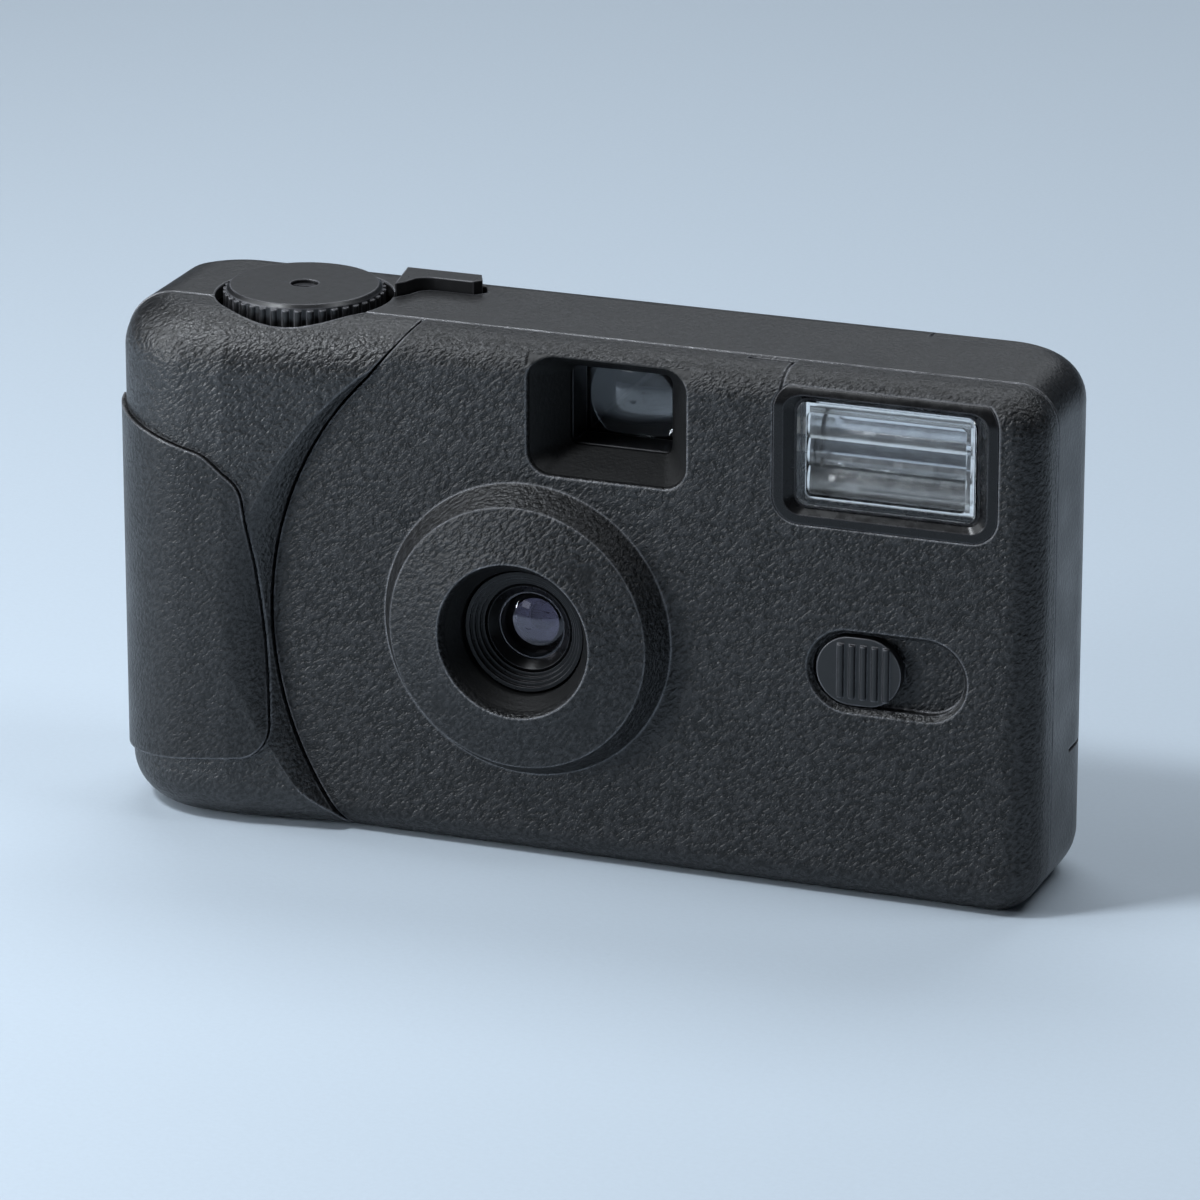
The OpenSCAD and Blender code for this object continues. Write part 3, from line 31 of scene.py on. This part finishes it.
class Shader:
    """A material's node tree, with short calls for the nodes that the finishes share."""

    def __init__(self, name):
        self.material = bpy.data.materials.new(name)
        self.material.use_nodes = True
        self.tree = self.material.node_tree
        self.tree.nodes.clear()
        self.surface = self.add("ShaderNodeBsdfPrincipled")
        output = self.add("ShaderNodeOutputMaterial")
        self.link(self.surface.outputs["BSDF"], output.inputs["Surface"])
        self.place = self.add("ShaderNodeTexCoord").outputs["Object"]

    def add(self, kind, **settings):
        node = self.tree.nodes.new(kind)
        for key, value in settings.items():
            setattr(node, key, value)
        return node

    def link(self, source, target):
        self.tree.links.new(source, target)

    def set(self, **values):
        """Plain values on the surface shader, by socket name with _ for a blank."""
        for key, value in values.items():
            self.surface.inputs[key.replace("_", " ")].default_value = value

    def noise(self, size, detail=2.0, rough=0.5, stretch=None, turn=0.0):
        """Noise with features about size metres across, drawn out by stretch along axes turned about Y."""
        node = self.add("ShaderNodeTexNoise")
        node.inputs["Scale"].default_value = 1.0 / size
        node.inputs["Detail"].default_value = detail
        node.inputs["Roughness"].default_value = rough
        source = self.place
        if stretch:
            mapping = self.add("ShaderNodeMapping", vector_type="TEXTURE")
            mapping.inputs["Scale"].default_value = stretch
            mapping.inputs["Rotation"].default_value = (0.0, math.radians(turn), 0.0)
            self.link(source, mapping.inputs["Vector"])
            source = mapping.outputs["Vector"]
        self.link(source, node.inputs["Vector"])
        return node.outputs["Fac"]

    def math(self, operation, a, b):
        node = self.add("ShaderNodeMath", operation=operation)
        for socket, value in zip(node.inputs, (a, b)):
            if isinstance(value, (int, float)):
                socket.default_value = value
            else:
                self.link(value, socket)
        return node.outputs["Value"]

    def span(self, value, low, high, out_low, out_high):
        """value from low..high moved to out_low..out_high, held at the ends."""
        node = self.add("ShaderNodeMapRange")
        ends = {"From Min": low, "From Max": high, "To Min": out_low, "To Max": out_high}
        for name, number in ends.items():
            node.inputs[name].default_value = number
        self.link(value, node.inputs["Value"])
        return node.outputs["Result"]

    def vary(self, noise, low, high):
        """Noise spread over low..high, with its rare ends held."""
        return self.span(noise, 0.3, 0.7, low, high)

    def mix(self, factor, a, b):
        """Colour a where factor is 0 and b where it is 1. Each is a colour or a socket."""
        node = self.add("ShaderNodeMix", data_type="RGBA")
        sockets = [s for s in node.inputs if s.type == "RGBA"]
        for socket, value in zip(sockets, (a, b)):
            if isinstance(value, (tuple, list)):
                socket.default_value = (*value, 1.0)
            else:
                self.link(value, socket)
        self.link(factor, node.inputs["Factor"])
        return next(s for s in node.outputs if s.type == "RGBA")

    def zone(self, low, high, soft):
        """1 inside the box between two corners in mm, falling to 0 over soft mm outside it."""
        axes = self.add("ShaderNodeSeparateXYZ")
        self.link(self.place, axes.inputs["Vector"])
        inside = 1.0
        for axis, start, end in zip(axes.outputs, low, high):
            rise = self.span(axis, (start - soft) * MM, start * MM, 0.0, 1.0)
            fall = self.span(axis, end * MM, (end + soft) * MM, 1.0, 0.0)
            inside = self.math("MULTIPLY", rise, inside)
            inside = self.math("MULTIPLY", fall, inside)
        return inside

    def soft_edge(self, radius):
        """Normal that rounds every sharp edge by radius, and how much of an edge each point is."""
        bevel = self.add("ShaderNodeBevel", samples=6)
        bevel.inputs["Radius"].default_value = radius
        normal = self.add("ShaderNodeNewGeometry").outputs["Normal"]
        dot = self.add("ShaderNodeVectorMath", operation="DOT_PRODUCT")
        self.link(bevel.outputs["Normal"], dot.inputs[0])
        self.link(normal, dot.inputs[1])
        return bevel.outputs["Normal"], self.span(dot.outputs["Value"], 0.995, 0.90, 0.0, 1.0)

    def bump(self, height, depth, normal=None):
        node = self.add("ShaderNodeBump")
        node.inputs["Strength"].default_value = 1.0
        node.inputs["Distance"].default_value = depth
        self.link(height, node.inputs["Height"])
        if normal:
            self.link(normal, node.inputs["Normal"])
        return node.outputs["Normal"]

    def finish(self, color=None, rough=None, normal=None):
        for name, value in (("Base Color", color), ("Roughness", rough), ("Normal", normal)):
            if value is not None:
                self.link(value, self.surface.inputs[name])
        return self.material


def scaled(color, factor):
    return tuple(min(1.0, c * factor) for c in color)


# How many times lighter an edge is than its moulding: a painted highlight that also stands for wear
EDGE_HIGHLIGHT_LIFT = 26.0


def moulded(name, color, rough, grain, grain_depth, grain_light_contrast,
            edge_r=0.45 * MM, wear_and_highlight=0.85, sheen=0.5, shade_boxes=()):
    """Moulded plastic: leathery grain with a painted highlight on its crests and painted shade in its
    hollows, polished edges with a painted highlight that also stands for wear, painted shade in smooth
    recesses.
    """
    s = Shader(name)
    s.set(IOR=1.5, Specular_IOR_Level=sheen)
    normal, edge = s.soft_edge(edge_r)
    patch = s.noise(18 * MM, 3.0)
    leather = s.noise(grain, 2.0, 0.55, (1.7, 1.0, 1.0), -40.0)
    # Grain crests painted lighter as a highlight, hollows painted darker as shade.
    grain_crest_highlight = s.span(leather, 0.40, 0.62, 0.0, 1.0)
    dull, bright = scaled(color, 0.92 + grain_light_contrast), scaled(color, 1.08 + grain_light_contrast)
    lit = s.mix(s.vary(patch, 0.0, 1.0), dull, bright)
    tint = s.mix(grain_crest_highlight, scaled(color, 1.0 - grain_light_contrast), lit)
    edge_wear_and_highlight = s.math("MULTIPLY", edge, s.vary(s.noise(3 * MM), 0.4 * wear_and_highlight, wear_and_highlight))
    # Edges painted much lighter: a painted highlight, also standing for wear.
    tint = s.mix(edge_wear_and_highlight, tint, scaled(color, EDGE_HIGHLIGHT_LIFT))
    gloss = s.vary(s.noise(6 * MM, 3.0), rough - 0.05, rough + 0.05)
    gloss = s.math("SUBTRACT", gloss, s.math("MULTIPLY", edge_wear_and_highlight, 0.25))
    # Painted shade: each recess box darkens the colour to a quarter, with less grain and more roughness.
    for low, high, soft in shade_boxes:
        recess_shade = s.zone(low, high, soft)
        tint = s.mix(recess_shade, tint, scaled(color, 0.25))
        leather = s.math("MULTIPLY", leather, s.span(recess_shade, 0.0, 1.0, 1.0, 0.15))
        gloss = s.math("ADD", gloss, s.math("MULTIPLY", recess_shade, 0.12))
    return s.finish(tint, gloss, s.bump(leather, grain_depth, normal))


def smooth_plastic(name, color, rough, edge_r=0.3 * MM, wear_and_highlight=0.7, sheen=0.5):
    """Smooth half-gloss moulding: faint flow marks, fine dust and polished edges with a painted highlight
    that also stands for wear.
    """
    s = Shader(name)
    s.set(IOR=1.48, Specular_IOR_Level=sheen)
    normal, edge = s.soft_edge(edge_r)
    flow = s.noise(2.5 * MM, 3.0, 0.55, (1.0, 1.0, 3.0))
    tint = s.mix(s.vary(flow, 0.0, 1.0), scaled(color, 0.9), scaled(color, 1.12))
    edge_wear_and_highlight = s.math("MULTIPLY", edge, s.vary(s.noise(2 * MM), 0.4 * wear_and_highlight, wear_and_highlight))
    # Edges painted much lighter: a painted highlight, also standing for wear.
    tint = s.mix(edge_wear_and_highlight, tint, scaled(color, EDGE_HIGHLIGHT_LIFT))
    gloss = s.vary(s.noise(1.2 * MM, 4.0), rough - 0.05, rough + 0.06)
    return s.finish(tint, gloss, s.bump(s.noise(0.35 * MM, 2.0), 0.004 * MM, normal))


def metal(name, color, rough, brush=(1.0, 1.0, 1.0)):
    """Bare or plated metal with fine brushed streaks."""
    s = Shader(name)
    s.set(Metallic=1.0)
    normal, edge = s.soft_edge(0.08 * MM)
    streak = s.noise(0.5 * MM, 3.0, 0.6, brush)
    tint = s.mix(s.vary(streak, 0.0, 1.0), scaled(color, 0.88), scaled(color, 1.06))
    # Edges painted a little lighter: a painted highlight.
    tint = s.mix(s.math("MULTIPLY", edge, 0.3), tint, scaled(color, 1.2))
    gloss = s.span(streak, 0.25, 0.75, max(0.03, rough - 0.05), rough + 0.08)
    return s.finish(tint, gloss, s.bump(streak, 0.002 * MM, normal))


def clear(name, color, rough=0.02, ior=1.49, edge_r=0.1 * MM, smear=0.03):
    """Clear moulding or glass with faint smears, so its reflections aren't perfect."""
    s = Shader(name)
    s.set(IOR=ior, Transmission_Weight=1.0)
    normal, _ = s.soft_edge(edge_r)
    haze = s.noise(1.6 * MM, 3.0)
    tint = s.mix(s.vary(haze, 0.0, 1.0), color, scaled(color, 0.97))
    gloss = s.span(haze, 0.35, 0.75, rough, rough + smear)
    return s.finish(tint, gloss, s.bump(s.noise(2.2 * MM), 0.003 * MM, normal))


def coated(name, color, coat, ior=1.52):
    """Lens with a tinted coating."""
    s = Shader(name)
    s.set(IOR=ior, Transmission_Weight=1.0, Coat_Weight=0.3, Coat_Roughness=0.02, Coat_IOR=1.6)
    s.surface.inputs["Coat Tint"].default_value = (*coat, 1.0)
    dust = s.noise(0.5 * MM, 4.0)
    tint = s.mix(s.vary(dust, 0.0, 1.0), color, scaled(color, 0.96))
    gloss = s.span(dust, 0.4, 0.8, 0.01, 0.02)
    return s.finish(tint, gloss)


def film(name, color):
    """Glossy film base with faint winding streaks along the strip."""
    s = Shader(name)
    streak = s.noise(0.6 * MM, 3.0, 0.6, (10.0, 10.0, 1.0))
    tint = s.mix(s.vary(streak, 0.0, 1.0), scaled(color, 0.8), scaled(color, 1.2))
    return s.finish(tint, s.vary(streak, 0.16, 0.3), s.bump(streak, 0.002 * MM))


def laminate(name, color):
    """Circuit laminate with woven glass under the lacquer."""
    s = Shader(name)
    warp = s.noise(0.4 * MM, 1.0, 0.5, (1.0, 1.0, 10.0))
    weft = s.noise(0.4 * MM, 1.0, 0.5, (10.0, 1.0, 1.0))
    weave = s.math("ADD", warp, weft)
    tint = s.mix(s.span(weave, 0.7, 1.3, 0.0, 1.0), scaled(color, 0.75), scaled(color, 1.25))
    return s.finish(tint, s.span(weave, 0.7, 1.3, 0.25, 0.4), s.bump(weave, 0.004 * MM))


# Finishes, one per kind of surface. Boxes of painted shade in recesses have two corners and a soft border,
# in mm.

BLACK = (0.013, 0.0131, 0.0139)
PAD_BLACK = (0.011, 0.0111, 0.0118)
TRIM_BLACK = (0.012, 0.012, 0.013)
DEEP_BLACK = (0.005, 0.005, 0.0055)
# Boxes of painted shade: the viewfinder recess and the lens cone.
FINDER_SHADE_BOX = ((-4.4, -10.3, 48.4), (15.6, 20.0, 62.8), 0.3)
LENS_CONE_SHADE_BOX = ((-14.2, -14.6, 19.1), (5.4, 20.0, 38.7), 0.9)

FINISHES = {
    moulded("grained_cover", BLACK, 0.40, 0.44 * MM, 0.30 * MM, 0.95, sheen=0.45,
            shade_boxes=(FINDER_SHADE_BOX, LENS_CONE_SHADE_BOX)): ("front_cover",),
    moulded("grained_grip", BLACK, 0.37, 0.44 * MM, 0.26 * MM, 0.95, sheen=0.65): ("grip_cover",),
    moulded("plain_cover", BLACK, 0.36, 0.40 * MM, 0.08 * MM, 0.6, sheen=0.6): ("rear_cover",),
    moulded("soft_pad", PAD_BLACK, 0.36, 0.40 * MM, 0.18 * MM, 0.92, sheen=0.5): ("grip_pad",),
    smooth_plastic("gloss_trim", TRIM_BLACK, 0.32): ("release_lever", "advance_wheel", "flash_switch"),
    smooth_plastic("bezel_gloss", DEEP_BLACK, 0.26, sheen=0.35): ("flash_bezel",),
    smooth_plastic("lens_mount", DEEP_BLACK, 0.3, edge_r=0.12 * MM, sheen=0.25): (
        "lens_barrel", "lens_ring"),
    moulded("inner_moulding", DEEP_BLACK, 0.55, 0.4 * MM, 0.02 * MM, 0.2, sheen=0.3): (
        "main_frame", "striker", "viewfinder_frame", "cassette_caps", "cassette_spool", "supply_spool",
        "pressure_plate"),
    coated("taking_glass", (0.93, 0.92, 0.95), (0.72, 0.66, 1.0)): ("taking_lens",),
    coated("finder_glass", (0.94, 0.95, 0.97), (0.9, 0.95, 1.0)): (
        "viewfinder_lens", "viewfinder_eyepiece"),
    clear("flash_clear", (0.97, 0.98, 1.0)): ("flash_window", "counter_window"),
    clear("tube_clear", (0.92, 0.95, 1.0)): ("flash_tube",),
    clear("lamp_amber", (0.95, 0.40, 0.15), 0.15): ("ready_lamp",),
    metal("reflector_bright", (0.99, 0.95, 0.90), 0.16, (5.0, 1.0, 1.0)): ("flash_reflector",),
    metal("dark_sheet", (0.06, 0.06, 0.065), 0.45): ("aperture_plate", "shutter_blade", "wheel_screw"),
    metal("plain_steel", (0.58, 0.59, 0.61), 0.28): (
        "shutter_pin", "shutter_spring", "release_pin", "release_spring", "striker_pin", "wheel_shaft",
        "wheel_pawl", "battery_contact_plus", "battery_contact_minus"),
    metal("contact_brass", (0.72, 0.55, 0.28), 0.25): ("switch_contacts",),
    metal("cassette_tin", (0.12, 0.12, 0.14), 0.35): ("cassette_shell",),
    metal("battery_tin", (0.45, 0.36, 0.14), 0.3): ("battery",),
    smooth_plastic("white_moulding", (0.72, 0.72, 0.69), 0.45, wear_and_highlight=0.0): (
        "spool_gear", "sprocket", "counter_drum"),
    smooth_plastic("sleeve_plastic", (0.05, 0.05, 0.08), 0.35, wear_and_highlight=0.05): ("capacitor", "transformer"),
    film("film_base", (0.16, 0.09, 0.05)): ("film_strip", "film_roll"),
    laminate("green_laminate", (0.04, 0.16, 0.08)): ("circuit_board",),
}

for finish, names in FINISHES.items():
    for name in names:
        piece = nodes[name]
        piece.data.materials.clear()
        piece.data.materials.append(finish)


# Floor, light and camera

def backdrop(width, depth, rise, bend, y_back):
    """Floor that sweeps up into a wall."""
    steps = 24
    profile = [(y_back - depth, 0.0)]
    for i in range(steps + 1):
        a = math.pi / 2 * i / steps
        profile.append((y_back - bend + bend * math.sin(a), bend - bend * math.cos(a)))
    profile.append((y_back, rise))
    mesh = bmesh.new()
    rows = [[mesh.verts.new((x, y, z)) for x in (-width / 2, width / 2)] for y, z in profile]
    for low, high in zip(rows, rows[1:]):
        mesh.faces.new((low[0], low[1], high[1], high[0]))
    data = bpy.data.meshes.new("backdrop")
    mesh.to_mesh(data)
    mesh.free()
    for polygon in data.polygons:
        polygon.use_smooth = True
    sweep = bpy.data.objects.new("backdrop", data)
    bpy.context.collection.objects.link(sweep)
    return sweep


def paper(name, color):
    """Matt backdrop paper with a fine even tooth."""
    s = Shader(name)
    s.set(Specular_IOR_Level=0.2)
    tooth = s.noise(0.7 * MM, 3.0)
    tint = s.mix(s.vary(tooth, 0.0, 1.0), scaled(color, 0.985), scaled(color, 1.015))
    return s.finish(tint, s.vary(tooth, 0.6, 0.7), s.bump(tooth, 0.02 * MM))


FLOOR = (0.555, 0.635, 0.715)
sweep = backdrop(width=6.0, depth=5.0, rise=3.0, bend=1.2, y_back=2.6)
sweep.data.materials.append(paper("pale_paper", FLOOR))


LAMP_COLOR = (0.90, 0.95, 1.0)


def softbox(name, place, aim, size, power):
    """Rectangular soft light of that power in watts, turned towards aim."""
    lamp = bpy.data.lights.new(name, "AREA")
    lamp.shape = "RECTANGLE"
    lamp.size, lamp.size_y = size
    lamp.energy = power
    lamp.color = LAMP_COLOR
    holder = bpy.data.objects.new(name, lamp)
    holder.location = place
    holder.rotation_euler = (Vector(aim) - Vector(place)).to_track_quat("-Z", "Y").to_euler()
    bpy.context.collection.objects.link(holder)


# Where the lights aim: the middle of the camera, and the top of its grip
CENTRE = (0.0, 0.0, 0.03)
GRIP = (-0.05, -0.012, 0.055)
softbox("top_light", (-0.1, 0.5, 0.85), CENTRE, (0.8, 0.4), 3.9)
softbox("rear_light", (-0.32, 0.95, 0.55), CENTRE, (0.8, 0.35), 0.6)
softbox("left_key", (-0.47, -0.14, 0.36), CENTRE, (0.3, 0.45), 1.2)
softbox("corner_light", (0.33, 0.02, 0.58), CENTRE, (0.2, 0.2), 0.8)
softbox("crest_light", (-0.22, -0.22, 0.5), GRIP, (0.09, 0.09), 1.7)
softbox("window", (-0.36, -0.66, 0.26), CENTRE, (0.2, 0.14), 0.12)
softbox("front_left", (-0.38, -0.30, 0.15), GRIP, (0.12, 0.12), 0.85)

FILL_COLOR = (0.82, 0.89, 1.0, 1.0)
FILL_STRENGTH = 0.04
world = bpy.data.worlds.new("studio")
world.use_nodes = True
background = world.node_tree.nodes["Background"]
background.inputs["Color"].default_value = FILL_COLOR
background.inputs["Strength"].default_value = FILL_STRENGTH
bpy.context.scene.world = world
bpy.context.scene.view_settings.view_transform = "Standard"

SENSOR = 36.0
FOCAL_LENGTH = 211.66
CAMERA_PLACE = (0.2822, -0.7486, 0.3054)
CAMERA_AIM = (0.000933, -0.0003, 0.029862)
camera_data = bpy.data.cameras.new("photo_view")
camera_data.sensor_width = SENSOR
camera_data.lens = FOCAL_LENGTH
camera_data.clip_start = 0.01
camera = bpy.data.objects.new("photo_view", camera_data)
camera.location = CAMERA_PLACE
camera.rotation_euler = (Vector(CAMERA_AIM) - camera.location).to_track_quat("-Z", "Y").to_euler()
bpy.context.collection.objects.link(camera)
bpy.context.scene.camera = camera
